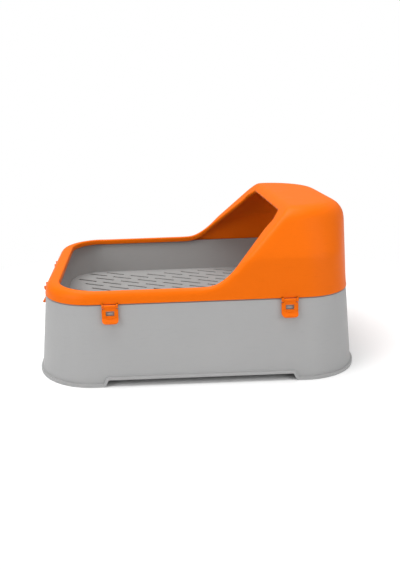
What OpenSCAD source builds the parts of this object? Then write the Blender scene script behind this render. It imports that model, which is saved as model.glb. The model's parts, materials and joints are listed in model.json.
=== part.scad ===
// Sifting litter box: a skirted base pan, three nested sifting trays, a clip-on hooded
// shield and eight latches that hold the shield down.
// Every wall follows one plan: a rectangle of corner centres, reached outward by a radius.
// Millimetres, +Z up, origin on the floor under the middle, +X towards the hood.

/* [Plan] */
// Half the distance between the corner centres along the length
corner_x = 177; // [120:1:240]
// Half the distance between the corner centres across the width
corner_y = 115; // [80:1:160]

/* [Base pan] */
// Radius of the skirt corners at the floor
skirt_foot_r = 100; // [85:1:120]
// Radius of the skirt corners at the top edge
skirt_top_r = 85; // [78:1:100]
// Height of the skirt
skirt_h = 139.7; // [100:0.1:180]
// Thickness of the skirt wall
skirt_wall = 2.5; // [2:0.5:5]
// How far the bottom bead stands out of the skirt
bead_out = 3; // [1:0.5:6]
// Height of the bottom bead
bead_h = 5; // [3:0.5:10]
// Half length of the finger gap along each long side
gap_half = 161; // [80:1:175]
// Height of the finger gap
gap_h = 12; // [6:1:30]
// Thickness of the pan wall, its floor and its ledge
pan_wall = 2.5; // [2:0.5:4]
// Outer radius of the support posts under the pan floor
post_r = 11; // [8:1:20]
// Depth of the ribs under the pan floor
pan_rib_h = 16; // [6:1:40]

/* [Sifting trays] */
// Height of the tray wall over its floor
tray_h = 62; // [40:0.5:80]
// Corner radius inside a tray at its floor
tray_floor_r = 66.5; // [50:0.5:72]
// Corner radius inside a tray at its rim
tray_top_r = 77.5; // [60:0.5:79]
// Thickness of the tray wall, measured level
tray_wall = 1.4; // [1:0.1:2]
// Thickness of the tray floor and of its rim flange
tray_floor_t = 2; // [1.5:0.1:3]
// Step in height from one tray to the next
tray_step = 10; // [9:0.5:14]
// Gap left between pieces that rest on each other
seat_gap = 0.3; // [0.2:0.05:0.5]

/* [Sieve] */
// Angle of the slots to the length, running towards the front
slot_angle = 28; // [15:1:45]
// Length of a slot
slot_len = 44; // [20:1:60]
// Width of a slot
slot_w = 5; // [3:0.5:8]
// Distance between slots in a row
slot_pitch = 60; // [45:1:80]
// Distance between rows of slots
row_pitch = 22; // [14:1:30]
// Width of the closing ribs under a tray
rib_w = 6; // [5:0.5:9]

/* [Shield] */
// How far the shield rim stands out over the top edge of the skirt
rim_over = 1; // [0:0.5:4]
// Height of the lower edge of the shield over its seat
rim_side_h = 14; // [8:0.5:20]
// Height that the rim flange rises from its outer to its inner edge
rim_rise = 5.5; // [0:0.5:8]
// Corner radius of the opening inside the rim
mouth_r = 58; // [50:1:70]
// Depth of the lip turned down inside the rim
lip_h = 5.5; // [3:0.5:8]
// Thickness of the shield
shield_wall = 2.6; // [2:0.1:4]

/* [Hood] */
// Slope of the hood opening
hood_slope = 45; // [30:1:60]
// Where the sloped opening would meet the rim edge, along the length
hood_foot_x = 30.5; // [-40:0.5:80]
// Radius of the sweep from the rim up into the opening
sweep_r = 80; // [40:1:120]
// Height at which the roof shoulders begin to round over
shoulder_z = 247; // [220:1:270]
// Radius of the roof shoulders
shoulder_r = 34; // [20:1:60]
// Half width of the hood at the shoulders
shoulder_half_w = 168; // [120:1:190]
// Reach of the hood back at the shoulders, along the length
shoulder_x = 261; // [220:1:265]
// Plan radius of the rear corners at the shoulders
shoulder_plan_r = 80; // [50:1:100]
// Half width of the hood window at its top corners
window_top_half = 98; // [60:1:130]
// Height of the window at its top corners
window_top_z = 268; // [230:1:285]

/* [Latches] */
// Distance of the side latches from the middle, along the length
latch_x = 147; // [90:1:165]
// Distance of the end latches from the middle, across the width
end_latch_y = 75; // [30:1:100]
// Width of a latch
latch_w = 27; // [20:1:45]
// Reach of a latch below its hinge axis
latch_reach = 29; // [24:0.5:45]
// Thickness of the latch plate
latch_t = 3; // [2:0.1:4]
// Radius of the hinge barrel
barrel_r = 2.5; // [2:0.1:4]
// Radius of the hinge trunnions
trunnion_r = 1.5; // [1:0.1:2]
// Radial clearance of the trunnions in their lugs
hinge_clearance = 0.05; // [0.02:0.01:0.1]
// Height of the hinge axis
hinge_z = 137.5; // [120:0.5:150]
// Width of the window in a latch
catch_window_w = 14; // [8:0.5:22]
// Clearance between a catch nub and the latch plate in front of it
catch_gap = 0.4; // [0.3:0.05:0.8]

/* [Hidden] */
$fn = 96;
grey = [0.66, 0.67, 0.68];
tray_grey = [0.58, 0.59, 0.60];
orange = [0.97, 0.46, 0.08];

// base pan
skirt_lean = (skirt_foot_r - skirt_top_r) / skirt_h;
stack = 3;
tray_lean = (tray_top_r - tray_floor_r) / tray_h;
seat_z = skirt_h + seat_gap;
rim_edge_z = seat_z + rim_side_h;
top_floor_z = rim_edge_z - shield_wall - seat_gap - tray_h;
pan_floor_z = top_floor_z - stack * tray_step;
ledge_z = pan_floor_z + tray_h;
recess_r = skirt_top_r - skirt_wall;
rim_r = skirt_top_r + rim_over;
rim_in = 2;
rim_edge_r = rim_r - rim_in;
pan_foot_r = tray_floor_r + pan_wall;

// sifting trays: their rim fits inside the recess of the pan and inside the shield rim
turn_h = tray_step - seat_gap;
turn_t = tray_wall;
tray_rim_r = min(recess_r, rim_edge_r - shield_wall) - seat_gap;
slot_margin = 6;
rib_inset = 1;
edge_rib_w = 3;

// shield rim
mouth_z = rim_edge_z + rim_rise;
lip_z = mouth_z - lip_h;
rim_lean = rim_in / rim_side_h;
rim_pitch = rim_rise / (rim_edge_r - mouth_r);

// hood
hood_front_x = -60;
hood_skirt_z = rim_edge_z - shield_wall / 2;
waist_z = 205;
waist_in = 7;
sweep_x = hood_foot_x - sweep_r * tan(hood_slope / 2);
sweep_z = rim_edge_z + sweep_r;
slope_run = 150;
window_low_half = corner_y + mouth_r;
window_waist = [166, 200];
window_shoulder = [126, 250];
far = 400;

// latches
skirt_r_at_hinge = skirt_top_r + skirt_lean * (skirt_h - hinge_z);
hinge_gap = 1.3;
hinge_r = skirt_r_at_hinge + hinge_gap + barrel_r;
skirt_tilt = atan(skirt_lean);
lug_w = 3;
lug_r = 3.2;
side_play = 0.3;
barrel_half = latch_w / 2 - lug_w - side_play;
plate_in = -2.2;
plate_out = plate_in + latch_t;
window_near = 8;
window_far = 16;
catch_out = hinge_gap + barrel_r + plate_in - catch_gap;
catch_w = 11;
catch_low_z = 122.8;
catch_h = 5.6;
latch_corner_r = 7;

// ---- shared shapes ----

// Rounded rectangle in plan, reached by r from the corner centres.
module plan(r) {
    for (sx = [-1, 1], sy = [-1, 1])
        translate([sx * corner_x, sy * corner_y])
            circle(r = r);
    square([2 * (corner_x + r), 2 * corner_y], center = true);
    square([2 * corner_x, 2 * (corner_y + r)], center = true);
}

// Solid with the plan's outline whose walls lean from radius r0 at z0 to r1 at z1.
module block(r0, r1, z0, z1) {
    for (sx = [-1, 1], sy = [-1, 1])
        translate([sx * corner_x, sy * corner_y, z0])
            cylinder(h = z1 - z0, r1 = r0, r2 = r1);
    rotate([90, 0, 0])
        linear_extrude(2 * corner_y, center = true)
            trapezoid(corner_x + r0, corner_x + r1, z0, z1);
    rotate([90, 0, 90])
        linear_extrude(2 * corner_x, center = true)
            trapezoid(corner_y + r0, corner_y + r1, z0, z1);
}

// Trapezoid with half widths w0 at height z0 and w1 at height z1.
module trapezoid(w0, w1, z0, z1) {
    polygon([[-w0, z0], [w0, z0], [w1, z1], [-w1, z1]]);
}

// Places its children at one side: local +Y points outward and starts at the corner centres.
module on_side(site) {
    rotate([0, 0, site[0]])
        translate([site[1], site[2], 0])
            children();
}

// Sites of the latches: turn about Z, place along the side, distance of the side.
function front_site(x) = [180, -x, corner_y];
function rear_site(x) = [0, x, corner_y];
function end_site(side, y) = [-90 * side, -side * y, corner_x];
sites = [front_site(-latch_x), front_site(latch_x), rear_site(-latch_x), rear_site(latch_x),
    end_site(-1, -end_latch_y), end_site(-1, end_latch_y),
    end_site(1, -end_latch_y), end_site(1, end_latch_y)];

// ---- base pan ----

module base_pan() {
    color(grey) {
        difference() {
            union() {
                pan_shell();
                block(skirt_foot_r + bead_out, skirt_foot_r + bead_out, 0, bead_h);
            }
            block(skirt_foot_r - skirt_wall, skirt_foot_r - skirt_wall - skirt_lean * 9,
                -1, 8);
            finger_gap(gap_half, gap_h, -1);
        }
        gap_bead();
        pan_ribs();
        for (site = sites)
            on_side(site)
                catch_nub();
    }
}

module pan_shell() {
    cavity_z = ledge_z - pan_wall;
    difference() {
        block(skirt_foot_r, skirt_top_r, 0, skirt_h);
        difference() {
            block(skirt_foot_r - skirt_wall, skirt_foot_r - skirt_wall - skirt_lean * cavity_z,
                0, cavity_z);
            block(pan_foot_r, tray_top_r + pan_wall, pan_floor_z - pan_wall, ledge_z);
        }
        block(recess_r, recess_r, ledge_z, skirt_h + 1);
        block(tray_floor_r, tray_top_r + tray_lean, pan_floor_z, ledge_z + 1);
    }
}

// Prism across the whole width with the outline of the finger gap.
module finger_gap(half, high, low) {
    rotate([90, 0, 0])
        linear_extrude(2 * far, center = true)
            trapezoid(half, half - (high - low) * 0.5, low, high);
}

// Bead that carries on over the finger gap.
module gap_bead() {
    intersection() {
        difference() {
            finger_gap(gap_half + bead_h, gap_h + bead_h, 0);
            finger_gap(gap_half, gap_h, -1);
        }
        difference() {
            block(skirt_foot_r + bead_out, skirt_foot_r + bead_out - skirt_lean * 30, 0, 30);
            block(skirt_foot_r - skirt_wall, skirt_foot_r - skirt_wall - skirt_lean * 31,
                -0.5, 30.5);
        }
    }
}

// Posts and ribs that carry the pan floor.
module pan_ribs() {
    under = pan_floor_z - pan_wall + 1;
    rib_low = under - pan_rib_h;
    for (x = [-150, 0, 150], y = [-80, 80])
        translate([x, y, 0])
            difference() {
                cylinder(h = under, r = post_r);
                translate([0, 0, -1])
                    cylinder(h = under - pan_wall, r = post_r - pan_wall);
            }
    difference() {
        intersection() {
            union() {
                for (x = [-150, 0, 150])
                    translate([x, 0, rib_low + pan_rib_h / 2])
                        cube([pan_wall, far, pan_rib_h], center = true);
                for (y = [-80, 80])
                    translate([0, y, rib_low + pan_rib_h / 2])
                        cube([2 * far, pan_wall, pan_rib_h], center = true);
            }
            block(tray_floor_r - 1, tray_floor_r - 1, rib_low, under);
        }
        for (x = [-150, 0, 150], y = [-80, 80])
            translate([x, y, 0])
                cylinder(h = under - pan_wall, r = post_r - pan_wall / 2);
    }
}

// Nub behind the latch window, with a sloped lead-in on top. Its face follows the skirt.
module catch_nub() {
    root = skirt_top_r - 1;
    tip = skirt_top_r + skirt_lean * (skirt_h - catch_low_z) + catch_out;
    rotate([90, 0, 90])
        linear_extrude(catch_w, center = true)
            polygon([[root, catch_low_z], [tip, catch_low_z],
                [tip - skirt_lean * catch_h / 2, catch_low_z + catch_h / 2],
                [root, catch_low_z + catch_h + 1]]);
}

// ---- sifting trays ----

// One tray, its floor's top face at height 0.
module tray() {
    color(tray_grey) {
        difference() {
            union() {
                block(tray_floor_r + tray_wall - tray_lean * tray_floor_t,
                    tray_top_r + tray_wall, -tray_floor_t, tray_h);
                tray_flange();
            }
            block(tray_floor_r, tray_top_r + tray_lean, 0, tray_h + 1);
            translate([0, 0, -tray_floor_t - 1])
                linear_extrude(tray_floor_t + 2)
                    slots();
        }
        translate([0, 0, -turn_h])
            linear_extrude(turn_h - tray_floor_t / 2)
                closing_ribs();
    }
}

// Rim flange with its turned-down edge.
module tray_flange() {
    difference() {
        block(tray_rim_r, tray_rim_r, tray_h - turn_h, tray_h);
        block(tray_rim_r - turn_t, tray_rim_r - turn_t,
            tray_h - turn_h - 1, tray_h - tray_floor_t);
    }
}

// How far a point lies outside the rectangle of corner centres.
function reach(p) = norm([max(abs(p[0]) - corner_x, 0), max(abs(p[1]) - corner_y, 0)]);

// Point at s along a row and q across the rows.
function on_row(s, q) = [s * cos(slot_angle) + q * sin(slot_angle),
    -s * sin(slot_angle) + q * cos(slot_angle)];

// Slots in staggered rows a quarter pitch off the middle: a tray turned end for end has
// its slots half-way between the rows of the tray under it.
module slots() {
    rows = ceil(2 * (corner_x + corner_y) / row_pitch / 2);
    for (n = [-rows:rows], m = [-6:6]) {
        q = (n + 0.25) * row_pitch;
        s = (m + (n % 2 == 0 ? 0 : 0.5)) * slot_pitch;
        ends = [reach(on_row(s - slot_len / 2, q)), reach(on_row(s + slot_len / 2, q))];
        if (max(ends) < tray_floor_r - slot_margin)
            translate(on_row(s, q))
                rotate(-slot_angle)
                    square([slot_len, slot_w], center = true);
    }
}

// Ribs between the slot rows, tied by a rib round the floor. They close the slots of the
// tray underneath.
module closing_ribs() {
    rows = ceil(2 * (corner_x + corner_y) / row_pitch / 2);
    difference() {
        plan(tray_floor_r - rib_inset);
        plan(tray_floor_r - rib_inset - edge_rib_w);
    }
    intersection() {
        plan(tray_floor_r - rib_inset);
        rotate(-slot_angle)
            for (n = [-rows:rows])
                translate([0, (n + 0.75) * row_pitch])
                    square([2 * far, rib_w], center = true);
    }
}

module stacked_tray(level) {
    translate([0, 0, top_floor_z - level * tray_step])
        rotate([0, 0, level % 2 == 0 ? 0 : 180])
            tray();
}

module tray_bottom() {
    stacked_tray(2);
}

module tray_middle() {
    stacked_tray(1);
}

module tray_top() {
    stacked_tray(0);
}

// ---- shield ----

module shield() {
    color(orange) {
        rim();
        difference() {
            hood_form(0);
            hood_form(shield_wall);
            in_front_of_opening();
        }
        hood_flange();
        for (site = sites)
            on_side(site)
                lugs();
    }
}

// Low rim: side wall, flange rising inward and a lip turned down over the top tray.
module rim() {
    t = shield_wall;
    difference() {
        union() {
            block(rim_r, rim_edge_r, seat_z, rim_edge_z);
            block(rim_edge_r, mouth_r, rim_edge_z, mouth_z);
        }
        block(rim_r - t + rim_lean, rim_edge_r - t, seat_z - 1, rim_edge_z - t);
        difference() {
            block(rim_edge_r - t, mouth_r, rim_edge_z - t, mouth_z - t - rim_pitch * t);
            block(mouth_r + t, mouth_r + t, lip_z, mouth_z);
        }
        block(mouth_r, mouth_r, seat_z - 1, mouth_z + 1);
        block(mouth_r + t + 1, mouth_r + t + 1, seat_z - 1, lip_z);
    }
}

// Full hood, reaching far past its opening, drawn in by inset on every side.
module hood_form(inset) {
    front_x = hood_front_x - 20 * inset;
    hull() {
        for (x = [front_x, corner_x], side = [-1, 1]) {
            translate([x, side * corner_y, hood_skirt_z - inset / 2])
                cylinder(h = 1, r = rim_edge_r - inset, $fn = 64);
            translate([x, side * corner_y, waist_z])
                cylinder(h = 1, r = rim_edge_r - waist_in - inset, $fn = 64);
        }
        for (x = [front_x, shoulder_x - shoulder_plan_r], side = [-1, 1])
            translate([x, side * (shoulder_half_w - shoulder_plan_r), shoulder_z])
                rotate_extrude($fn = 48)
                    shoulder_section(shoulder_r - inset);
    }
}

// Half section of a roof corner, rounded over with radius r.
module shoulder_section(r) {
    intersection() {
        translate([shoulder_plan_r - shoulder_r, 0])
            circle(r = r, $fn = 32);
        translate([0, -r])
            square(2 * shoulder_plan_r);
    }
}

// Points of the sweep from the rim into the slope, drawn at depth under the surface.
function sweep(depth) = [for (a = [0:hood_slope / 9:hood_slope])
    [sweep_x + (sweep_r + depth) * sin(a), sweep_z - (sweep_r + depth) * cos(a)]];

// Top end of the slope at the same depth.
function slope_top(depth) = sweep(depth)[9] + slope_run * [cos(hood_slope), sin(hood_slope)];

// Everything ahead of and above the sloped opening.
module in_front_of_opening() {
    rotate([90, 0, 0])
        linear_extrude(2 * far, center = true)
            polygon(concat(sweep(0), [slope_top(0), [slope_top(0)[0], far], [-far, far],
                [-far, rim_edge_z]]));
}

// Flange that frames the opening of the hood.
module hood_flange() {
    difference() {
        intersection() {
            hood_form(0);
            rotate([90, 0, 0])
                linear_extrude(2 * far, center = true)
                    polygon(concat(sweep(0), [slope_top(0), slope_top(shield_wall)],
                        [for (i = [9:-1:0]) sweep(shield_wall)[i]]));
        }
        rotate([90, 0, 90])
            linear_extrude(2 * far, center = true)
                window_outline();
    }
}

// Outline of the hood window, looking along the length.
module window_outline() {
    right = [[window_low_half, seat_z], [window_low_half, mouth_z], window_waist,
        window_shoulder, [window_top_half, window_top_z]];
    left = [for (i = [4:-1:0]) [-right[i][0], right[i][1]]];
    polygon(concat(right, left));
}

// Pair of lugs under the rim edge that hold the trunnions of one latch.
module lugs() {
    for (side = [-1, 1])
        difference() {
            translate([side * (latch_w - lug_w) / 2, 0, 0])
                lug();
            translate([side * (latch_w / 2 - lug_w), hinge_r, hinge_z])
                rotate([0, 90, 0])
                    cylinder(h = 2 * (lug_w - 0.5), r = trunnion_r + hinge_clearance,
                        center = true, $fn = 32);
        }
}

module lug() {
    low_r = hinge_r - lug_r;
    rotate([0, 90, 0])
        translate([-hinge_z, hinge_r, 0])
            cylinder(h = lug_w, r = lug_r, center = true, $fn = 48);
    translate([-lug_w / 2, low_r, hinge_z])
        cube([lug_w, 2 * lug_r, seat_z + 1.5 - hinge_z]);
    translate([-lug_w / 2, rim_r - shield_wall + 0.4, seat_z])
        cube([lug_w, lug_r + 2, 1.5]);
}

// ---- latches ----

// One closed latch: local +Y points outward.
module latch() {
    color(orange)
        translate([0, hinge_r, hinge_z])
            rotate([skirt_tilt, 0, 0]) {
                difference() {
                    union() {
                        plate();
                        neck();
                    }
                    translate([0, 0, -(window_near + window_far) / 2])
                        cube([catch_window_w, far, window_far - window_near], center = true);
                }
                grip_bump();
                rotate([0, 90, 0])
                    cylinder(h = 2 * barrel_half, r = barrel_r, center = true, $fn = 48);
                rotate([0, 90, 0])
                    cylinder(h = latch_w - 1.2, r = trunnion_r, center = true, $fn = 32);
            }
}

// Latch plate with its flared thumb lip and rounded lower corners.
module plate() {
    lip = plate_out + 4.8;
    intersection() {
        rotate([90, 0, 90])
            linear_extrude(latch_w, center = true)
                polygon([[plate_in, -4.6], [plate_out, -4.6], [plate_out, -20],
                    [lip, 2.3 - latch_reach], [lip - 1.2, -latch_reach],
                    [lip - 4.4, 0.6 - latch_reach], [plate_in, 7.8 - latch_reach]]);
        rotate([90, 0, 0])
            linear_extrude(far, center = true)
                rounded_plate();
    }
}

module rounded_plate() {
    half = latch_w / 2;
    for (side = [-1, 1])
        translate([side * (half - latch_corner_r), latch_corner_r - latch_reach])
            circle(r = latch_corner_r, $fn = 48);
    translate([-half, latch_corner_r - latch_reach])
        square([latch_w, latch_reach]);
    translate([latch_corner_r - half, -latch_reach])
        square([latch_w - 2 * latch_corner_r, latch_corner_r + 1]);
}

// Neck from the plate to the hinge barrel, between the lugs.
module neck() {
    translate([-barrel_half, plate_in, -6])
        cube([2 * barrel_half, latch_t, 6]);
}

// Raised bump under the window for the thumb.
module grip_bump() {
    translate([0, plate_out - 1.2, -(window_far + 3.2)])
        rotate([0, 90, 0])
            cylinder(h = 10, r = 2.2, center = true, $fn = 32);
}

module latch_front_left() {
    on_side(sites[0])
        latch();
}

module latch_front_right() {
    on_side(sites[1])
        latch();
}

module latch_rear_left() {
    on_side(sites[2])
        latch();
}

module latch_rear_right() {
    on_side(sites[3])
        latch();
}

module latch_left_end_front() {
    on_side(sites[4])
        latch();
}

module latch_left_end_rear() {
    on_side(sites[5])
        latch();
}

module latch_right_end_front() {
    on_side(sites[6])
        latch();
}

module latch_right_end_rear() {
    on_side(sites[7])
        latch();
}

base_pan();
tray_bottom();
tray_middle();
tray_top();
shield();
latch_front_left();
latch_front_right();
latch_rear_left();
latch_rear_right();
latch_left_end_front();
latch_left_end_rear();
latch_right_end_front();
latch_right_end_rear();
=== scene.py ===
"""Looks of a sifting litter box: grey base pan and sieves, orange hooded shield and latches."""

import json
import logging
import math
from contextlib import contextmanager
from dataclasses import dataclass, field
from enum import Enum
from typing import Callable, Iterator

import bmesh
import bpy
from mathutils import Matrix, Vector


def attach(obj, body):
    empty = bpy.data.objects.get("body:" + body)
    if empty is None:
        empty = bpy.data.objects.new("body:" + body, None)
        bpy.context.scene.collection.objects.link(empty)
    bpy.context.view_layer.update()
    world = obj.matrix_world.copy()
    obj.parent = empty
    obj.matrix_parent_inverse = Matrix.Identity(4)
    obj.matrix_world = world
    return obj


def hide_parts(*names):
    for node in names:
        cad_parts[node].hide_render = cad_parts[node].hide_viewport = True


logging.basicConfig(level=logging.INFO, format="%(name)s: %(message)s")
LOG = logging.getLogger("litter_box")

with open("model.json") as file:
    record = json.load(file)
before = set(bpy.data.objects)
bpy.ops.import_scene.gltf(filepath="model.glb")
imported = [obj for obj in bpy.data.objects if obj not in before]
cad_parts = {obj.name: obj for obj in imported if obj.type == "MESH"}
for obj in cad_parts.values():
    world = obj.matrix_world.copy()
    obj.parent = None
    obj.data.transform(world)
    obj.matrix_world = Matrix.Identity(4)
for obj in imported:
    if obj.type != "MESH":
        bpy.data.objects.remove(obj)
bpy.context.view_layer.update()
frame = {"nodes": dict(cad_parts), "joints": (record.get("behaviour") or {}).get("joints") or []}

Colour = tuple[float, float, float]
Place = tuple[float, float, float]
Aim = Callable[[Vector, Vector], tuple[Vector, float]]
# Centres of the corner circles in plan, for the pan and the shield alike.
CORNER = (0.177, 0.115)
# Corners of a solid that lie closer than this are one.
MERGE = 2e-6


class Effect(Enum):
    """Shader node groups that several finishes share."""

    MOULD_GRAIN = "mould_grain"
    HANDLING_WEAR = "handling_wear"


@dataclass(frozen=True)
class MouldedPlastic:
    """Injection-moulded polypropylene with a fine eroded grain and a soft sheen."""

    name: str
    colour: Colour
    roughness: float = 0.46
    gloss: float = 0.18
    grain_size: float = 0.0006
    grain_depth: float = 0.00004
    grain_strength: float = 0.35
    mottle: float = 0.05
    wear: float = 0.12
    refraction: float = 1.49

    def material(self) -> bpy.types.Material:
        """Builds the material.

        Returns:
            A node material on Object coordinates.
        """
        mat = bpy.data.materials.new(self.name)
        mat.use_nodes = True
        tree = mat.node_tree
        tree.nodes.clear()
        out = tree.nodes.new("ShaderNodeOutputMaterial")
        shader = tree.nodes.new("ShaderNodeBsdfPrincipled")
        shader.inputs["IOR"].default_value = self.refraction
        shader.inputs["Specular IOR Level"].default_value = self.gloss
        shader.inputs["Metallic"].default_value = 0.0
        tree.links.new(shader.outputs["BSDF"], out.inputs["Surface"])
        grain = effect_node(tree, Effect.MOULD_GRAIN, {
            "Colour": (*self.colour, 1.0), "Grain Size": self.grain_size,
            "Mottle": self.mottle, "Roughness": self.roughness})
        wear = effect_node(tree, Effect.HANDLING_WEAR, {"Amount": self.wear})
        tree.links.new(grain.outputs["Colour"], wear.inputs["Colour"])
        tree.links.new(grain.outputs["Roughness"], wear.inputs["Roughness"])
        tree.links.new(wear.outputs["Colour"], shader.inputs["Base Color"])
        tree.links.new(wear.outputs["Roughness"], shader.inputs["Roughness"])
        bump = tree.nodes.new("ShaderNodeBump")
        bump.inputs["Strength"].default_value = self.grain_strength
        bump.inputs["Distance"].default_value = self.grain_depth
        tree.links.new(grain.outputs["Height"], bump.inputs["Height"])
        tree.links.new(bump.outputs["Normal"], shader.inputs["Normal"])
        return mat


def effect_group(effect: Effect) -> bpy.types.NodeTree:
    """Finds or builds a shared node group.

    Args:
        effect: Which group is wanted.

    Returns:
        The group's node tree.
    """
    found = bpy.data.node_groups.get(effect.value)
    if found:
        return found
    tree = bpy.data.node_groups.new(effect.value, "ShaderNodeTree")
    if effect is Effect.MOULD_GRAIN:
        build_mould_grain(tree)
    else:
        build_handling_wear(tree)
    return tree


def effect_node(tree: bpy.types.NodeTree, effect: Effect,
                values: dict[str, float | tuple[float, ...]]) -> bpy.types.Node:
    """Adds a shared group to a tree.

    Args:
        tree: Tree that takes the node.
        effect: Which group is wanted.
        values: Values of its inputs by name.

    Returns:
        The group's node.
    """
    node = tree.nodes.new("ShaderNodeGroup")
    node.node_tree = effect_group(effect)
    for name, value in values.items():
        node.inputs[name].default_value = value
    return node


def add_sockets(tree: bpy.types.NodeTree, inputs: dict[str, str], outputs: dict[str, str]) -> None:
    """Gives a group its sockets.

    Args:
        tree: The group.
        inputs: Socket type of each input by name.
        outputs: Socket type of each output by name.
    """
    for name, kind in inputs.items():
        tree.interface.new_socket(name, in_out="INPUT", socket_type=kind)
    for name, kind in outputs.items():
        tree.interface.new_socket(name, in_out="OUTPUT", socket_type=kind)


def feed(tree: bpy.types.NodeTree, value: bpy.types.NodeSocket | float,
         socket: bpy.types.NodeSocket) -> None:
    """Links a socket to another one, or sets its value.

    Args:
        tree: Tree that holds the socket.
        value: The output that the socket reads, or its value.
        socket: The input that is fed.
    """
    if isinstance(value, bpy.types.NodeSocket):
        tree.links.new(value, socket)
    else:
        socket.default_value = value


def noise(tree: bpy.types.NodeTree, coords: bpy.types.NodeSocket,
          scale: bpy.types.NodeSocket | float, detail: float) -> bpy.types.NodeSocket:
    """Adds a noise texture.

    Args:
        tree: Tree that takes the node.
        coords: Coordinates that it reads.
        scale: Cells to the metre.
        detail: Octaves of finer noise.

    Returns:
        Its factor.
    """
    node = tree.nodes.new("ShaderNodeTexNoise")
    tree.links.new(coords, node.inputs["Vector"])
    feed(tree, scale, node.inputs["Scale"])
    node.inputs["Detail"].default_value = detail
    return node.outputs["Fac"]


def math_node(tree: bpy.types.NodeTree, operation: str, first: bpy.types.NodeSocket | float,
              second: bpy.types.NodeSocket | float) -> bpy.types.NodeSocket:
    """Adds a math node.

    Args:
        tree: Tree that takes the node.
        operation: Blender's name of the operation.
        first: First operand.
        second: Second operand.

    Returns:
        Its output.
    """
    node = tree.nodes.new("ShaderNodeMath")
    node.operation = operation
    for index, value in enumerate((first, second)):
        feed(tree, value, node.inputs[index])
    return node.outputs[0]


def build_mould_grain(tree: bpy.types.NodeTree) -> None:
    """Fills the group for the eroded grain of the mould and a slight cloudiness.

    Args:
        tree: The empty group.
    """
    add_sockets(tree,
                {"Colour": "NodeSocketColor", "Grain Size": "NodeSocketFloat",
                 "Mottle": "NodeSocketFloat", "Roughness": "NodeSocketFloat"},
                {"Colour": "NodeSocketColor", "Roughness": "NodeSocketFloat",
                 "Height": "NodeSocketFloat"})
    given = tree.nodes.new("NodeGroupInput")
    result = tree.nodes.new("NodeGroupOutput")
    coords = tree.nodes.new("ShaderNodeTexCoord").outputs["Object"]
    grain_cells = math_node(tree, "DIVIDE", 1.0, given.outputs["Grain Size"])
    fine = noise(tree, coords, scale=grain_cells, detail=2.0)
    cloud = noise(tree, coords, scale=14.0, detail=3.0)
    centred = math_node(tree, "SUBTRACT", cloud, 0.5)
    shift = math_node(tree, "MULTIPLY", centred, given.outputs["Mottle"])
    tone = tree.nodes.new("ShaderNodeHueSaturation")
    tree.links.new(given.outputs["Colour"], tone.inputs["Color"])
    tree.links.new(math_node(tree, "ADD", shift, 1.0), tone.inputs["Value"])
    rough_gain = 1.6
    rough = math_node(tree, "ADD", given.outputs["Roughness"],
                      math_node(tree, "MULTIPLY", shift, rough_gain))
    tree.links.new(tone.outputs["Color"], result.inputs["Colour"])
    tree.links.new(rough, result.inputs["Roughness"])
    tree.links.new(fine, result.inputs["Height"])


def build_handling_wear(tree: bpy.types.NodeTree) -> None:
    """Fills the group for fine rubbing that polishes the plastic in faint patches.

    Args:
        tree: The empty group.
    """
    add_sockets(tree,
                {"Colour": "NodeSocketColor", "Roughness": "NodeSocketFloat",
                 "Amount": "NodeSocketFloat"},
                {"Colour": "NodeSocketColor", "Roughness": "NodeSocketFloat"})
    patch_stretch = (1.0, 1.0, 6.0)
    patch_edge = (0.56, 0.74)
    darker = 0.25
    smoother = 0.5
    given = tree.nodes.new("NodeGroupInput")
    result = tree.nodes.new("NodeGroupOutput")
    coords = tree.nodes.new("ShaderNodeTexCoord").outputs["Object"]
    stretch = tree.nodes.new("ShaderNodeMapping")
    stretch.inputs["Scale"].default_value = patch_stretch
    tree.links.new(coords, stretch.inputs["Vector"])
    scuff = noise(tree, stretch.outputs["Vector"], scale=55.0, detail=4.0)
    ramp = tree.nodes.new("ShaderNodeValToRGB")
    for stop, position in zip(ramp.color_ramp.elements, patch_edge):
        stop.position = position
    tree.links.new(scuff, ramp.inputs["Fac"])
    mask = math_node(tree, "MULTIPLY", ramp.outputs["Color"], given.outputs["Amount"])
    tone = tree.nodes.new("ShaderNodeHueSaturation")
    tree.links.new(given.outputs["Colour"], tone.inputs["Color"])
    tree.links.new(math_node(tree, "SUBTRACT", 1.0, math_node(tree, "MULTIPLY", mask, darker)),
                   tone.inputs["Value"])
    tree.links.new(tone.outputs["Color"], result.inputs["Colour"])
    tree.links.new(math_node(tree, "SUBTRACT", given.outputs["Roughness"],
                             math_node(tree, "MULTIPLY", mask, smoother)),
                   result.inputs["Roughness"])


@dataclass
class MouldedPart:
    """One moulding: takes its form from its solid and softens its sharp edges as a mould does."""

    node: str
    body: str
    slot: str
    edge_radius: float
    edge_segments: int = 2
    sharp_from: float = math.radians(28)
    flat_below: float = math.radians(0.4)

    def build(self, material: bpy.types.Material) -> bpy.types.Object:
        """Builds the softened moulding and hangs it on its body.

        Args:
            material: The finish's material.

        Returns:
            The new piece.
        """
        form = solid_form(self.node)
        bmesh.ops.dissolve_limit(form, angle_limit=self.flat_below, verts=form.verts,
                                 edges=form.edges)
        self.soften(form)
        piece = new_object(f"{self.node}_moulding", form)
        piece.data.materials.append(material)
        shade(piece)
        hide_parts(self.node)
        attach(piece, self.body)
        LOG.info("%s: %d faces", piece.name, len(piece.data.polygons))
        return piece

    def soften(self, form: bmesh.types.BMesh) -> None:
        """Rounds the sharp edges.

        Args:
            form: The merged moulding, changed in place.
        """
        sharp = [e for e in form.edges
                 if len(e.link_faces) == 2 and e.calc_face_angle(0.0) > self.sharp_from]
        bmesh.ops.bevel(form, geom=sharp, offset=self.edge_radius,
                        offset_type="OFFSET", segments=self.edge_segments, profile=0.5,
                        affect="EDGES", clamp_overlap=True, loop_slide=True, material=-1)


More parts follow.
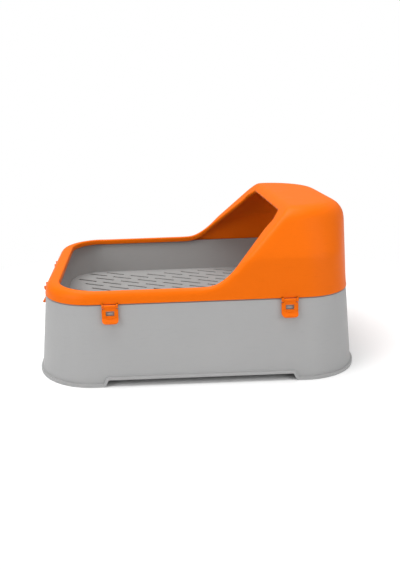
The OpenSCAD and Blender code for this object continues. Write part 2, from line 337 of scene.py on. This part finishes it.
def reach_out(place: Vector) -> Vector:
    """Measures how far a place lies outside the rectangle of the corner centres.

    Args:
        place: A place on the object.

    Returns:
        The level vector from the rectangle to the place.
    """
    beyond = [math.copysign(max(abs(place[i]) - CORNER[i], 0.0), place[i]) for i in (0, 1)]
    return Vector((*beyond, 0.0))


def shade(piece: bpy.types.Object) -> None:
    """Shades a piece smooth, with its flat walls kept flat.

    Args:
        piece: A mesh object.
    """
    for polygon in piece.data.polygons:
        polygon.use_smooth = True
    weighted = piece.modifiers.new("flat_walls", "WEIGHTED_NORMAL")
    weighted.keep_sharp = True
    weighted.weight = 80


@dataclass
class PanMoulding(MouldedPart):
    """The base pan, with a shadow groove round its top edge."""

    recess_r: float = 0.0825
    least_wall: float = 0.0012
    groove_z: float = 0.1378
    groove_in: float = 0.0021
    step_h: float = 0.00005

    def soften(self, form: bmesh.types.BMesh) -> None:
        """Cuts the groove and rounds the sharp edges.

        Args:
            form: The merged moulding, changed in place.
        """
        for height in (self.groove_z, self.groove_z + self.step_h):
            cut_level(form, height)
        for vert in form.verts:
            reach = reach_out(vert.co)
            above = vert.co.z > self.groove_z + self.step_h / 2
            if above and reach.length > self.recess_r + self.least_wall:
                vert.co -= reach.normalized() * self.groove_in
        super().soften(form)


@dataclass
class BasePan:
    """The skirted base pan that stands on the floor."""

    finish: MouldedPlastic = field(default_factory=lambda: MouldedPlastic(
        "base_grey", (0.40, 0.40, 0.40), roughness=0.5))

    def build(self) -> list[bpy.types.Object]:
        """Builds the pan.

        Returns:
            Its one piece.
        """
        part = PanMoulding("base_pan", "base", "base_plastic", edge_radius=0.0006)
        return [part.build(self.finish.material())]


@dataclass
class SieveStack:
    """The three sieves nested in the base pan."""

    finish: MouldedPlastic = field(default_factory=lambda: MouldedPlastic(
        "sieve_grey", (0.325, 0.323, 0.318), roughness=0.48))

    def build(self) -> list[bpy.types.Object]:
        """Builds the sieves.

        Returns:
            One piece for each, from the lowest up.
        """
        material = self.finish.material()
        return [MouldedPart(f"tray_{level}", f"{level}_tray", "tray_plastic",
                            edge_radius=0.0005).build(material)
                for level in ("bottom", "middle", "top")]


@dataclass
class HoodedShield:
    """The orange shield and the latches that hang from its rim.

    The outer form is made solid, softened like the mould's own radii, opened, and then given
    the thickness of the moulding. The bored lugs come from the shield's solid.
    """

    wall: float = 0.0026
    foot: tuple[float, float] = (0.086, 0.1409)
    rim_edge: tuple[float, float] = (0.084, 0.154)
    crown: tuple[float, float] = (0.076, 0.1620)
    waist: tuple[float, float] = (0.077, 0.205)
    shoulder: tuple[float, float] = (0.268, 0.168)
    shoulder_plan_r: float = 0.105
    shoulder_r: float = 0.034
    shoulder_z: float = 0.247
    front_x: float = -0.060
    sunk: float = 0.030
    slope: float = math.radians(45)
    slope_foot_x: float = 0.0280
    slope_run: float = 0.150
    sweep_r: float = 0.115
    mouth_half: tuple[float, float] = (0.2365, 0.189)
    mouth_r: float = 0.070
    window: tuple[tuple[float, float], ...] = (
        (0.189, 0.1605), (0.187, 0.171), (0.181, 0.183), (0.133, 0.244), (0.131, 0.257),
        (0.109, 0.2685))
    window_round: float = 0.009
    lip_roll: float = 0.003
    lip_h: float = 0.0100
    window_lip: float = 0.0035
    foot_roll: float = 0.0010
    lip_weld: float = 0.00001
    voxel: float = 0.0030
    soft_passes: int = 14
    soft_factor: float = 0.5
    weld_share: float = 0.15
    foot_share: float = 0.4
    circle_segments: int = 96
    arc_steps: int = 12
    far: float = 0.5
    window_share: tuple[float, float] = (0.9, 0.78)
    window_from_z: float = 0.163
    window_fade_h: float = 0.025
    lug_cut_z: float = 0.1399
    lug_top_z: float = 0.1415
    lug_middle: float = 0.012
    lug_w: float = 0.003
    root_r: tuple[float, float] = (0.0838, 0.0892)
    seat_r: tuple[float, float] = (0.0772, 0.0817)
    seat_z: tuple[float, float] = (0.1405, 0.1537)
    latches: dict[str, str] = field(default_factory=lambda: {
        "latch_front_left": "front_left_latch",
        "latch_front_right": "front_right_latch",
        "latch_rear_left": "rear_left_latch",
        "latch_rear_right": "rear_right_latch",
        "latch_left_end_front": "left_end_front_latch",
        "latch_left_end_rear": "left_end_rear_latch",
        "latch_right_end_front": "right_end_front_latch",
        "latch_right_end_rear": "right_end_rear_latch"})
    finish: MouldedPlastic = field(default_factory=lambda: MouldedPlastic(
        "shield_orange", (0.85, 0.150, 0.0004), roughness=0.44, gloss=0.12))

    def build(self) -> list[bpy.types.Object]:
        """Builds the shield and its latches.

        Returns:
            The shield, then the latches.
        """
        material = self.finish.material()
        pieces = [self.shell(material)]
        pieces += [MouldedPart(node, body, "shield_plastic", edge_radius=0.0004).build(material)
                   for node, body in self.latches.items()]
        return pieces

    def shell(self, material: bpy.types.Material) -> bpy.types.Object:
        """Builds the shield itself.

        Args:
            material: The finish's material.

        Returns:
            The piece that replaces the shield's node.
        """
        core = new_object("shield_core", self.outer_form())
        modify(core, "REMESH", mode="VOXEL", voxel_size=self.voxel)
        with edited(core) as form:
            for _ in range(self.soft_passes):
                bmesh.ops.smooth_vert(form, verts=form.verts, factor=self.soft_factor,
                                      use_axis_x=True, use_axis_y=True, use_axis_z=True)
        self.open_skin(core, material)
        modify(core, "SOLIDIFY", thickness=self.wall, offset=-1.0)
        with edited(core) as walls:
            self.seat_tray(walls)
            join(walls, self.lugs())
        core.name = "shield_moulding"
        shade(core)
        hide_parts("shield")
        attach(core, "hooded_shield")
        LOG.info("%s: %d faces", core.name, len(core.data.polygons))
        return core

    def open_skin(self, core: bpy.types.Object, material: bpy.types.Material) -> None:
        """Opens the mouth, the window and the foot, and leaves a skin with turned edges.

        Args:
            core: The softened form, changed in place.
            material: The finish's material.
        """
        cutter = new_object("shield_cutter", self.opening())
        for polygon in cutter.data.polygons:
            polygon.material_index = 1
        cut_wall = bpy.data.materials.new("cut_wall")
        for holder in (core, cutter):
            holder.data.materials.append(material)
            holder.data.materials.append(cut_wall)
        modify(core, "BOOLEAN", object=cutter, operation="DIFFERENCE", solver="MANIFOLD")
        bpy.data.objects.remove(cutter)
        with edited(core) as skin:
            bmesh.ops.delete(skin, geom=[f for f in skin.faces if f.material_index == 1],
                             context="FACES")
            cut_level(skin, self.foot[1], keep_below=False)
            bmesh.ops.remove_doubles(skin, verts=skin.verts, dist=self.voxel * self.weld_share)
            skin.normal_update()
            self.turn_edges(skin)
        core.data.materials.pop()
        bpy.data.materials.remove(cut_wall)

    def corners(self, form: bmesh.types.BMesh, radius: float, height: float,
                reach: tuple[float, float, float]) -> None:
        """Adds one ring of four corner circles.

        Args:
            form: The mesh that takes them.
            radius: Radius of a circle.
            height: Height of the ring.
            reach: Centres along the length, low and high, and across the width.
        """
        for x in reach[:2]:
            for y in (-reach[2], reach[2]):
                bmesh.ops.create_circle(form, cap_ends=False, radius=radius,
                                        segments=self.circle_segments,
                                        matrix=Matrix.Translation((x, y, height)))

    def outer_form(self) -> bmesh.types.BMesh:
        """Builds the solid outer form of rim and hood, sunk below the rim's foot.

        Returns:
            The rim and the hood as closed forms that overlap.
        """
        rim = bmesh.new()
        plan = (-CORNER[0], CORNER[0], CORNER[1])
        lean = (self.foot[0] - self.rim_edge[0]) / (self.rim_edge[1] - self.foot[1])
        self.corners(rim, self.foot[0] + lean * self.sunk, self.foot[1] - self.sunk, plan)
        self.corners(rim, *self.rim_edge, plan)
        self.corners(rim, *self.crown, plan)
        wrap(rim)
        hood = bmesh.new()
        long_plan = (self.front_x, CORNER[0], CORNER[1])
        self.corners(hood, self.rim_edge[0], self.foot[1] - self.sunk / 2, long_plan)
        self.corners(hood, *self.rim_edge, long_plan)
        self.corners(hood, *self.waist, long_plan)
        roof_plan = (self.front_x, self.shoulder[0] - self.shoulder_plan_r,
                     self.shoulder[1] - self.shoulder_plan_r)
        for step in range(self.arc_steps + 1):
            turn = math.pi / 2 * step / self.arc_steps
            self.corners(hood, self.shoulder_plan_r - self.shoulder_r * (1 - math.cos(turn)),
                         self.shoulder_z + self.shoulder_r * math.sin(turn), roof_plan)
        wrap(hood)
        join(rim, combine(hood, self.ahead_of_hood(), "DIFFERENCE"))
        return rim

    def ahead_of_hood(self) -> bmesh.types.BMesh:
        """Builds the space ahead of the hood, over the sweep and the slope.

        Returns:
            A prism across the whole width.
        """
        start_x = self.slope_foot_x - self.sweep_r * math.tan(self.slope / 2)
        turns = [self.slope * step / self.arc_steps for step in range(self.arc_steps + 1)]
        outline = [(start_x + self.sweep_r * math.sin(turn),
                    self.rim_edge[1] + self.sweep_r * (1 - math.cos(turn))) for turn in turns]
        last = outline[-1]
        top = (last[0] + self.slope_run * math.cos(self.slope),
               last[1] + self.slope_run * math.sin(self.slope))
        outline += [top, (top[0], self.far), (-self.far, self.far), (-self.far, self.rim_edge[1])]
        return prism([(x, -self.far, z) for x, z in outline], (0.0, 2 * self.far, 0.0))

    def opening(self) -> bmesh.types.BMesh:
        """Builds the space inside the mouth of the rim and the window of the hood.

        The mouth and the window start at different heights, which keeps their lower faces
        apart. From the middle, the window's cutter runs ahead by a share of the mouth's straight
        half and behind by a share of the shoulder's reach.

        Returns:
            The mouth and the window as one closed cutter, larger by the roll of the edge.
        """
        roll = self.lip_roll
        radius = self.mouth_r + roll
        mouth = bmesh.new()
        inner = (self.mouth_half[0] - self.mouth_r, self.mouth_half[1] - self.mouth_r)
        mouth_z = (self.foot[1] - self.sunk / 3, self.crown[1] + roll / 6)
        for height in mouth_z:
            self.corners(mouth, radius, height, (-inner[0], inner[0], inner[1]))
        wrap(mouth)
        right = [(y + roll, z) for y, z in self.window[:-1]]
        right.append((self.window[-1][0] + roll, self.window[-1][1] + roll))
        window_z = self.foot[1] - self.sunk / 4
        points = [(right[0][0], window_z)] + right + [(-y, z) for y, z in reversed(right)]
        points.append((-right[0][0], window_z))
        ahead = inner[0] * self.window_share[0]
        behind = self.shoulder[0] * self.window_share[1]
        window = prism([(-ahead, y, z) for y, z in points], (ahead + behind, 0.0, 0.0),
                       self.window_round)
        return combine(mouth, window, "UNION")

    def lugs(self) -> bmesh.types.BMesh:
        """Takes the bored lugs that hold the latches from the shield's solid.

        Returns:
            All lugs with their roots, as closed tongues.
        """
        every = solid_form("shield")
        cut_level(every, self.lug_cut_z, keep_above=False)
        rims = [e for e in every.edges if e.is_boundary]
        raised = bmesh.ops.extrude_edge_only(every, edges=rims)["geom"]
        for vert in (g for g in raised if isinstance(g, bmesh.types.BMVert)):
            vert.co.z = self.lug_top_z
        bmesh.ops.holes_fill(every, edges=[e for e in every.edges if e.is_boundary], sides=0)
        for body in self.latches.values():
            self.lug_roots(every, body)
        bmesh.ops.recalc_face_normals(every, faces=every.faces)
        return every

    def lug_roots(self, every: bmesh.types.BMesh, body: str) -> None:
        """Adds the two roots that join one latch's lugs to the foot of the wall.

        Args:
            every: The lugs, added to in place.
            body: The latch's body.
        """
        axle = Vector(next(j["pos_m"] for j in frame["joints"] if j["child"] == body))
        at_end = abs(axle.x) > CORNER[0] + self.foot[0]
        out = (Vector((math.copysign(1.0, axle.x), 0.0, 0.0)) if at_end
               else Vector((0.0, math.copysign(1.0, axle.y), 0.0)))
        along = out.cross(Vector((0.0, 0.0, 1.0)))
        edge = CORNER[0 if at_end else 1]
        inner, outer = self.root_r
        foot = along * axle.dot(along) + Vector((0.0, 0.0, self.lug_cut_z))
        rise = Vector((0.0, 0.0, self.lug_top_z - self.lug_cut_z))
        for side in (-1, 1):
            start = foot + along * (side * self.lug_middle - self.lug_w / 2)
            ring = [start + out * (edge + inner), start + out * (edge + outer),
                    start + out * (edge + outer) + rise, start + out * (edge + inner) + rise]
            join(every, prism(ring, along * self.lug_w))

    def seat_tray(self, skin: bmesh.types.BMesh) -> None:
        """Relieves the inside of the wall where the top tray's rim stands.

        Args:
            skin: The thickened moulding, changed in place.
        """
        inner, outer = self.seat_r
        low, high = self.seat_z
        for vert in skin.verts:
            reach = reach_out(vert.co)
            if inner < reach.length < outer and low < vert.co.z < high:
                vert.co += reach.normalized() * (outer - reach.length)

    def turn_edges(self, skin: bmesh.types.BMesh) -> None:
        """Turns the edge of the opening down into a lip, and the foot of the rim inward.

        Args:
            skin: The open skin, changed in place.
        """
        foot_z = self.foot[1] + self.voxel * self.foot_share
        loops = {True: [], False: []}
        for edge in skin.edges:
            if edge.is_boundary:
                loops[max(v.co.z for v in edge.verts) < foot_z].append(edge)
        up = Vector((0.0, 0.0, 1.0))

        def into_lip(place: Vector, normal: Vector) -> tuple[Vector, float]:
            """Aims the lip: down along the rim, and into the hood at the window.

            Args:
                place: A place on the edge.
                normal: The skin's normal there.

            Returns:
                The lip's direction and straight depth.
            """
            share = min(max((place.z - self.window_from_z) / self.window_fade_h, 0.0), 1.0)
            depth = (self.lip_h - self.lip_roll) * (1 - share) + self.window_lip * share
            return (-up).lerp(-normal, share).normalized(), depth

        def into_foot(place: Vector, normal: Vector) -> tuple[Vector, float]:
            """Aims the foot of the wall inward.

            Args:
                place: A place on the edge. It is not used.
                normal: The skin's normal there.

            Returns:
                The direction in which the foot turns, and no straight depth.
            """
            return Vector((-normal.x, -normal.y, 0.0)).normalized(), 0.0

        roll_edges(skin, loops[False], self.lip_roll, into_lip)
        roll_edges(skin, loops[True], self.foot_roll, into_foot)
        bmesh.ops.remove_doubles(skin, verts=skin.verts, dist=self.lip_weld)


def new_object(name: str, form: bmesh.types.BMesh) -> bpy.types.Object:
    """Puts a mesh on an object in the scene.

    Args:
        name: Name of the object.
        form: The mesh, freed here.

    Returns:
        The object.
    """
    mesh = bpy.data.meshes.new(name)
    form.to_mesh(mesh)
    form.free()
    holder = bpy.data.objects.new(name, mesh)
    bpy.context.scene.collection.objects.link(holder)
    return holder


def solid_form(node: str) -> bmesh.types.BMesh:
    """Reads a solid, with its corners merged.

    Args:
        node: The solid's node.

    Returns:
        Its form where it stands at rest.
    """
    source = frame["nodes"][node]
    form = bmesh.new()
    form.from_mesh(source.data)
    bmesh.ops.transform(form, matrix=source.matrix_world, verts=form.verts)
    bmesh.ops.remove_doubles(form, verts=form.verts, dist=MERGE)
    return form


def cut_level(form: bmesh.types.BMesh, height: float, keep_below: bool = True,
              keep_above: bool = True) -> None:
    """Cuts a mesh along a level plane.

    Args:
        form: The mesh, changed in place.
        height: Height of the plane.
        keep_below: Whether what lies below the plane stays.
        keep_above: Whether what lies above the plane stays.
    """
    whole = form.verts[:] + form.edges[:] + form.faces[:]
    bmesh.ops.bisect_plane(form, geom=whole, plane_co=(0.0, 0.0, height),
                           plane_no=(0.0, 0.0, 1.0), clear_inner=not keep_below,
                           clear_outer=not keep_above)


@contextmanager
def edited(holder: bpy.types.Object) -> Iterator[bmesh.types.BMesh]:
    """Opens an object's mesh and writes it back changed.

    Args:
        holder: The object whose mesh changes.

    Yields:
        The mesh to change.
    """
    form = bmesh.new()
    form.from_mesh(holder.data)
    yield form
    form.to_mesh(holder.data)
    form.free()


def combine(first: bmesh.types.BMesh, second: bmesh.types.BMesh,
            operation: str) -> bmesh.types.BMesh:
    """Adds one closed mesh to another, or takes it away.

    Args:
        first: The mesh that is worked on, freed here.
        second: The mesh that is added or taken away, freed here.
        operation: Blender's name of the operation.

    Returns:
        The closed result.
    """
    base = new_object("first", first)
    tool = new_object("second", second)
    modify(base, "BOOLEAN", object=tool, operation=operation, solver="EXACT")
    form = bmesh.new()
    form.from_mesh(base.data)
    for holder in (base, tool):
        bpy.data.objects.remove(holder)
    return form


def join(form: bmesh.types.BMesh, extra: bmesh.types.BMesh) -> None:
    """Adds one mesh to another.

    Args:
        form: The mesh that grows.
        extra: The mesh that is added, freed here.
    """
    mesh = bpy.data.meshes.new("extra")
    extra.to_mesh(mesh)
    extra.free()
    form.from_mesh(mesh)
    bpy.data.meshes.remove(mesh)


def modify(holder: bpy.types.Object, kind: str, **settings: object) -> None:
    """Applies one modifier.

    Args:
        holder: The object whose mesh changes.
        kind: Blender's name of the modifier.
        settings: Its settings by name.
    """
    modifier = holder.modifiers.new(kind.lower(), kind)
    for name, value in settings.items():
        setattr(modifier, name, value)
    done = holder.evaluated_get(bpy.context.evaluated_depsgraph_get())
    mesh = bpy.data.meshes.new_from_object(done)
    holder.modifiers.clear()
    holder.data = mesh


def wrap(form: bmesh.types.BMesh) -> None:
    """Wraps every vertex of a mesh in one closed hull.

    Args:
        form: The mesh, changed in place.
    """
    bmesh.ops.remove_doubles(form, verts=form.verts, dist=1e-6)
    hull = bmesh.ops.convex_hull(form, input=form.verts)
    loose = {v for v in form.verts if not v.link_faces}
    loose.update(v for v in hull["geom_interior"] if isinstance(v, bmesh.types.BMVert))
    bmesh.ops.delete(form, geom=list(loose), context="VERTS")
    bmesh.ops.recalc_face_normals(form, faces=form.faces)


def prism(outline: list[tuple[float, float, float]], run: tuple[float, float, float],
          rounding: float = 0.0) -> bmesh.types.BMesh:
    """Builds a prism.

    Args:
        outline: Points of its flat end.
        run: Reach from that end to the other.
        rounding: Offset of the corners that are rounded, none at zero.

    Returns:
        The closed prism.
    """
    form = bmesh.new()
    form.faces.new([form.verts.new(point) for point in outline])
    if rounding:
        bmesh.ops.bevel(form, geom=form.verts, offset=rounding, offset_type="OFFSET",
                        segments=6, profile=0.5, affect="VERTICES", clamp_overlap=True,
                        material=-1)
    made = bmesh.ops.extrude_face_region(form, geom=form.faces[:])
    moved = [v for v in made["geom"] if isinstance(v, bmesh.types.BMVert)]
    bmesh.ops.translate(form, verts=moved, vec=run)
    bmesh.ops.recalc_face_normals(form, faces=form.faces)
    return form


@dataclass(frozen=True)
class Roll:
    """How one place on an open edge is rolled over."""

    place: Vector
    inward: Vector
    normal: Vector
    final: Vector
    depth: float

    def at(self, step: int, segments: int, radius: float) -> Vector:
        """Finds a place on the roll's curve.

        Args:
            step: How many steps of the turn are done.
            segments: Steps of the whole turn.
            radius: Radius of the roll.

        Returns:
            The place.
        """
        part = self.inward.angle(self.final) * step / segments
        return self.place + radius * (math.sin(part) * self.inward
                                      - (1 - math.cos(part)) * self.normal)


def plan_rolls(verts: list[bmesh.types.BMVert], aim: Aim,
               passes: int = 12) -> dict[bmesh.types.BMVert, Roll]:
    """Plans the roll of every place on an open edge.

    Args:
        verts: The vertices of a closed chain of open edges.
        aim: Gives the final direction and the straight depth at a place with its normal.
        passes: How often the normals are evened out along the edge.

    Returns:
        The roll of each vertex.
    """
    beside = {v: [e.other_vert(v) for e in v.link_edges if e.is_boundary] for v in verts}
    normals = {v: v.normal.copy() for v in verts}
    for _ in range(passes):
        normals = {v: (normals[v] * 2 + sum((normals[n] for n in beside[v]), Vector())).normalized()
                   for v in verts}
    rolls = {}
    for v in verts:
        along = (beside[v][0].co - beside[v][-1].co).normalized()
        inward = along.cross(normals[v]).normalized()
        middle = sum((f.calc_center_median() for f in v.link_faces), Vector()) / len(v.link_faces)
        if inward.dot(v.co - middle) < 0:
            inward.negate()
        rolls[v] = Roll(v.co.copy(), inward, normals[v], *aim(v.co, normals[v]))
    return rolls


def roll_edges(skin: bmesh.types.BMesh, edges: list[bmesh.types.BMEdge], radius: float,
               aim: Aim, segments: int = 5) -> None:
    """Rolls open edges over and runs them on straight.

    Args:
        skin: The open skin, changed in place.
        edges: A closed chain of open edges.
        radius: Radius of the roll.
        aim: Gives the final direction and the straight depth at a place with its normal.
        segments: Steps of the turn.
    """
    rolls = plan_rolls(list({v for e in edges for v in e.verts}), aim)
    for step in range(1, segments + 2):
        made = bmesh.ops.extrude_edge_only(skin, edges=edges)["geom"]
        edges = [g for g in made if isinstance(g, bmesh.types.BMEdge) and g.is_boundary]
        fresh = [g for g in made if isinstance(g, bmesh.types.BMVert)]
        rolls = {v: rolls[e.other_vert(v)] for v in fresh for e in v.link_edges
                 if e.other_vert(v) in rolls}
        for v, roll in rolls.items():
            v.co = roll.at(min(step, segments), segments, radius)
            if step > segments:
                v.co += roll.final * roll.depth
    bmesh.ops.recalc_face_normals(skin, faces=skin.faces)


@dataclass(frozen=True)
class Softbox:
    """One square area light that faces the object."""

    name: str
    place: Place
    size: float
    watts: float


@dataclass
class Studio:
    """Pale floor, soft lights and the camera."""

    eye: Place = (-0.091266, -1.177850, 0.468915)
    aim: Place = (0.0, 0.0, 0.1)
    yaw: float = 0.0070734
    pitch: float = 0.297196
    roll: float = -0.035079
    lens_mm: float = 39.913
    shift: tuple[float, float] = (0.09215, 0.00124)
    ambient: float = 0.36
    floor_half: float = 6.0
    floor_grey: float = 0.8
    fade: tuple[float, float] = (0.42, 0.75)
    softboxes: tuple[Softbox, ...] = (
        Softbox("top_softbox", (-0.25, 0.05, 1.9), size=1.6, watts=37.0),
        Softbox("left_softbox", (-1.7, -1.3, 1.1), size=1.3, watts=15.5),
        Softbox("right_softbox", (1.5, -1.5, 0.9), size=1.3, watts=11.0))

    def build(self) -> None:
        """Sets up the floor, the lights, the world and the camera."""
        bpy.context.scene.view_settings.view_transform = "Standard"
        self.add_floor()
        self.add_world()
        for softbox in self.softboxes:
            self.add_softbox(softbox)
        self.add_camera()

    def add_floor(self) -> None:
        """Adds a floor that keeps the object's shadow and is plain white further out."""
        sheet = bmesh.new()
        bmesh.ops.create_grid(sheet, x_segments=1, y_segments=1, size=self.floor_half)
        floor = new_object("floor", sheet)
        mat = bpy.data.materials.new("pale_floor")
        mat.use_nodes = True
        tree = mat.node_tree
        tree.nodes.clear()
        out = tree.nodes.new("ShaderNodeOutputMaterial")
        path = tree.nodes.new("ShaderNodeLightPath")
        seen = math_node(tree, "MAXIMUM", path.outputs["Is Camera Ray"],
                         math_node(tree, "MAXIMUM", path.outputs["Is Glossy Ray"],
                                   path.outputs["Is Transmission Ray"]))
        shadowed = tree.nodes.new("ShaderNodeBsdfDiffuse")
        lift = math_node(tree, "MULTIPLY", seen, 1.0 - self.floor_grey)
        tree.links.new(math_node(tree, "ADD", lift, self.floor_grey), shadowed.inputs["Color"])
        plain = tree.nodes.new("ShaderNodeEmission")
        coords = tree.nodes.new("ShaderNodeTexCoord").outputs["Object"]
        away = tree.nodes.new("ShaderNodeVectorMath")
        away.operation = "LENGTH"
        tree.links.new(coords, away.inputs[0])
        fade = tree.nodes.new("ShaderNodeMapRange")
        fade.inputs["From Min"].default_value, fade.inputs["From Max"].default_value = self.fade
        tree.links.new(away.outputs["Value"], fade.inputs["Value"])
        blend = tree.nodes.new("ShaderNodeMixShader")
        tree.links.new(math_node(tree, "MULTIPLY", fade.outputs["Result"], seen),
                       blend.inputs["Fac"])
        tree.links.new(shadowed.outputs[0], blend.inputs[1])
        tree.links.new(plain.outputs[0], blend.inputs[2])
        tree.links.new(blend.outputs[0], out.inputs["Surface"])
        floor.data.materials.append(mat)

    def add_world(self) -> None:
        """Adds an even world that looks white to the camera."""
        world = bpy.data.worlds.new("studio")
        bpy.context.scene.world = world
        world.use_nodes = True
        tree = world.node_tree
        tree.nodes.clear()
        out = tree.nodes.new("ShaderNodeOutputWorld")
        background = tree.nodes.new("ShaderNodeBackground")
        background.inputs["Color"].default_value = (1.0, 1.0, 1.0, 1.0)
        path = tree.nodes.new("ShaderNodeLightPath")
        seen = math_node(tree, "MULTIPLY", path.outputs["Is Camera Ray"], 1.0 - self.ambient)
        tree.links.new(math_node(tree, "ADD", seen, self.ambient), background.inputs["Strength"])
        tree.links.new(background.outputs[0], out.inputs["Surface"])

    def add_softbox(self, softbox: Softbox) -> None:
        """Hangs one softbox and turns it to the object.

        Args:
            softbox: The light.
        """
        lamp = bpy.data.lights.new(softbox.name, "AREA")
        lamp.size = softbox.size
        lamp.energy = softbox.watts
        holder = bpy.data.objects.new(softbox.name, lamp)
        bpy.context.scene.collection.objects.link(holder)
        holder.location = softbox.place
        facing = Vector(self.aim) - Vector(softbox.place)
        holder.rotation_euler = facing.to_track_quat("-Z", "Y").to_euler()

    def add_camera(self) -> None:
        """Adds the camera."""
        lens = bpy.data.cameras.new("camera")
        lens.sensor_width = 36.0
        lens.lens = self.lens_mm
        lens.shift_x, lens.shift_y = self.shift
        holder = bpy.data.objects.new("camera", lens)
        bpy.context.scene.collection.objects.link(holder)
        turn = (Matrix.Rotation(-self.yaw, 4, "Z")
                @ Matrix.Rotation(math.pi / 2 - self.pitch, 4, "X")
                @ Matrix.Rotation(self.roll, 4, "Z"))
        holder.matrix_world = Matrix.Translation(self.eye) @ turn
        bpy.context.scene.camera = holder


def main() -> None:
    """Builds the studio and every sub-assembly."""
    Studio().build()
    for assembly in (BasePan(), SieveStack(), HoodedShield()):
        pieces = assembly.build()
        LOG.info("%s: %d pieces", type(assembly).__name__, len(pieces))


if __name__ == "__main__":
    main()
